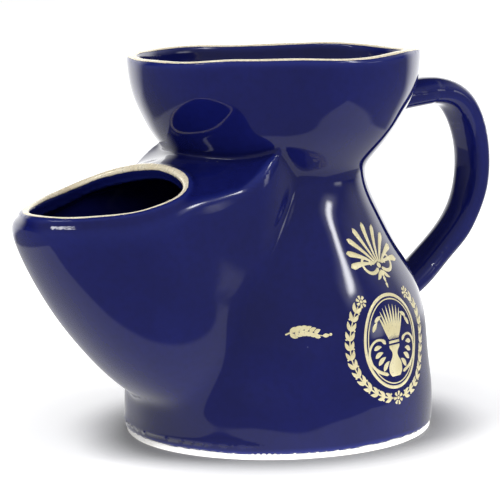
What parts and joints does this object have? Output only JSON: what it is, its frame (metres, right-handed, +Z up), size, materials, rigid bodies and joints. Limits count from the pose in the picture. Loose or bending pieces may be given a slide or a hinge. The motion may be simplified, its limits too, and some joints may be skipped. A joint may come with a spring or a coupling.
{
  "type": "shaving mug",
  "caption": "Glazed ceramic shaving scuttle: flared soap bowl with drain floor on a hot-water body, side brush spout and loop handle.",
  "frame": {"origin": "centre of the foot on the surface it stands on, on the body's axis", "axes": "+Z up along the body's axis, +X towards the handle, -X towards the brush spout, -Y the decorated side"},
  "size_m": [0.1752, 0.0924, 0.1117],
  "materials": {
    "cobalt_glaze": "deep cobalt blue, high gloss",
    "bright_gold": "bright fired gold band",
    "gilt_transfer": "satin pale gold transfer",
    "bare_clay": "unglazed white earthenware"
  },
  "bodies": {
    "root": {"foot_ring": "bare_clay", "lower_body": "cobalt_glaze", "soap_bowl": "cobalt_glaze", "brush_spout": "cobalt_glaze", "handle": "cobalt_glaze", "bowl_rim_gilding": "bright_gold", "spout_lip_gilding": "bright_gold", "transfer_wreath": "gilt_transfer", "transfer_medallion": "gilt_transfer", "transfer_crest": "gilt_transfer", "transfer_sprig": "gilt_transfer"}
  },
  "joints": []
}
